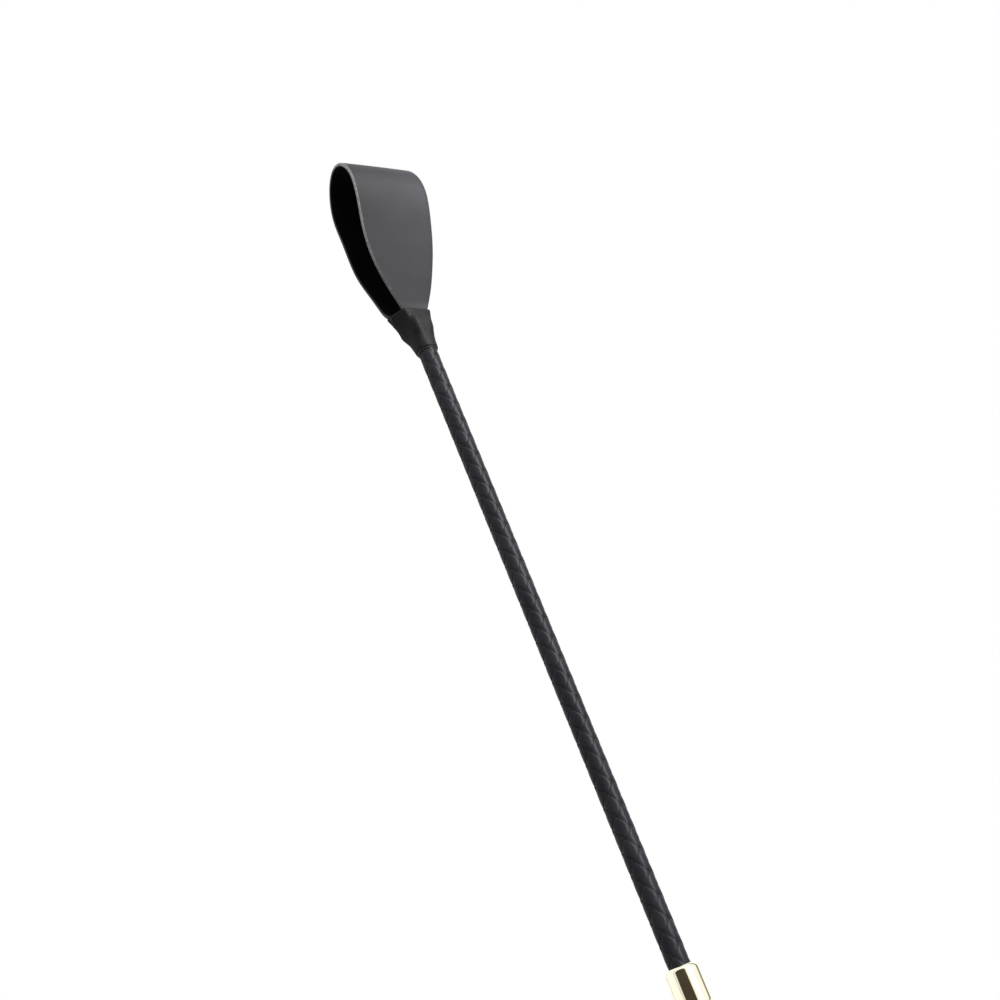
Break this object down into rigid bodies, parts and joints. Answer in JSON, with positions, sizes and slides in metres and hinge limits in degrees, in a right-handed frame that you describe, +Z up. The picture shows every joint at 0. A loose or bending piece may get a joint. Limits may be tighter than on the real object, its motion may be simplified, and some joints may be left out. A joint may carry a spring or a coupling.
{
  "type": "riding crop",
  "caption": "Short riding crop with a braided flexible shaft, a wide folded leather keeper at the tip, and a gold-coloured ferrule and leather grip.",
  "frame": {"origin": "centre of the crop's bounding box, on the surface it lies on", "axes": "+X along the shaft from the keeper's fold to the end cap, +Y across the keeper, +Z up from the surface, so the keeper's upper ply faces +Z"},
  "size_m": [0.5312, 0.0376, 0.0291],
  "materials": {
    "keeper_leather": "smooth black leather, semi-matte, with paler cut edges",
    "binding_leather": "thin smooth black leather, soft sheen",
    "waxed_thread": "black waxed thread",
    "fibreglass": "pulled fibreglass rod",
    "cotton": "black cotton underlay",
    "braid_lace": "black flat lace, satin, braided",
    "polished_brass": "pale polished gold-coloured plating",
    "core_wood": "turned beech",
    "felt": "dense felt",
    "grip_leather": "fine pebbled black leather",
    "seam_thread": "black polyester thread",
    "steel": "zinc plated",
    "fibre_board": "vulcanised fibre"
  },
  "bodies": {
    "root": {"keeper_tail_upper": "keeper_leather", "keeper_tail_lower": "keeper_leather", "binding_thread": "waxed_thread", "binding_wrap": "binding_leather", "binding_end_ring": "waxed_thread", "core_rod": "fibreglass", "underlay_sleeve": "cotton", "braid_cover": "braid_lace", "upper_braid_whipping": "waxed_thread", "lower_braid_whipping": "waxed_thread", "ferrule": "polished_brass", "handle_core": "core_wood", "grip_padding": "felt", "grip_leather": "grip_leather", "grip_seam_thread": "seam_thread", "pommel_collar": "polished_brass", "end_cap": "polished_brass", "cap_stud": "steel", "cap_washer": "fibre_board"},
    "keeper": {"keeper_loop": "keeper_leather"}
  },
  "joints": [
    {"name": "keeper_flex", "type": "hinge", "parent": "root", "child": "keeper", "pos_m": [-0.18794, 0, 0.0085], "axis": [0, 1, 0], "range_deg": [-30, 30], "stiffness_Nm_per_rad": 0.4}
  ]
}
